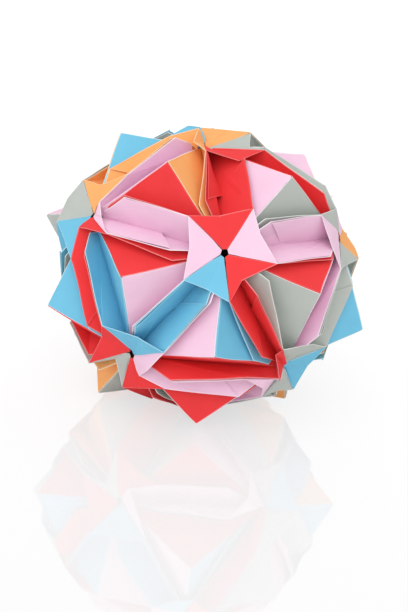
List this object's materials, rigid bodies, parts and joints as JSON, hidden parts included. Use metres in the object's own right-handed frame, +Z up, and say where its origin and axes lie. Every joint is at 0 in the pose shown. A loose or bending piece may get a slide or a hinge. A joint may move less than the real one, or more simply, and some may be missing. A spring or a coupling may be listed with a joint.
{
  "type": "kusudama paper ball",
  "caption": "Ball of folded coloured paper units locked along the edges of an icosahedron, with raised peaks, open boat-shaped folds and pinwheel points.",
  "frame": {"origin": "on the surface the ball stands on, at the centre of its footprint, below the lowest point", "axes": "+Z up through the bottom and top points, -Y towards the upper point at the front, +X to its right"},
  "size_m": [0.0934, 0.0982, 0.0852],
  "materials": {
    "red_paper": "matte, dyed through, same colour on both sides",
    "pink_paper": "matte, dyed through, same colour on both sides",
    "blue_paper": "matte, dyed through, same colour on both sides",
    "orange_paper": "matte, dyed through, same colour on both sides",
    "gray_paper": "matte, dyed through, same colour on both sides"
  },
  "bodies": {
    "root": {"crown_unit_1": "red_paper", "crown_unit_2": "gray_paper", "crown_unit_3": "orange_paper", "crown_unit_4": "blue_paper", "crown_unit_5": "orange_paper", "upper_ring_unit_1": "pink_paper", "upper_ring_unit_2": "pink_paper", "upper_ring_unit_3": "red_paper", "upper_ring_unit_4": "gray_paper", "upper_ring_unit_5": "pink_paper", "right_slope_unit_1": "red_paper", "right_slope_unit_2": "orange_paper", "right_slope_unit_3": "gray_paper", "right_slope_unit_4": "pink_paper", "right_slope_unit_5": "red_paper", "left_slope_unit_1": "blue_paper", "left_slope_unit_2": "gray_paper", "left_slope_unit_3": "blue_paper", "left_slope_unit_4": "orange_paper", "left_slope_unit_5": "blue_paper", "lower_ring_unit_1": "blue_paper", "lower_ring_unit_2": "pink_paper", "lower_ring_unit_3": "red_paper", "lower_ring_unit_4": "gray_paper", "lower_ring_unit_5": "pink_paper", "foot_unit_1": "gray_paper", "foot_unit_2": "orange_paper", "foot_unit_3": "blue_paper", "foot_unit_4": "orange_paper", "foot_unit_5": "red_paper"}
  },
  "joints": []
}
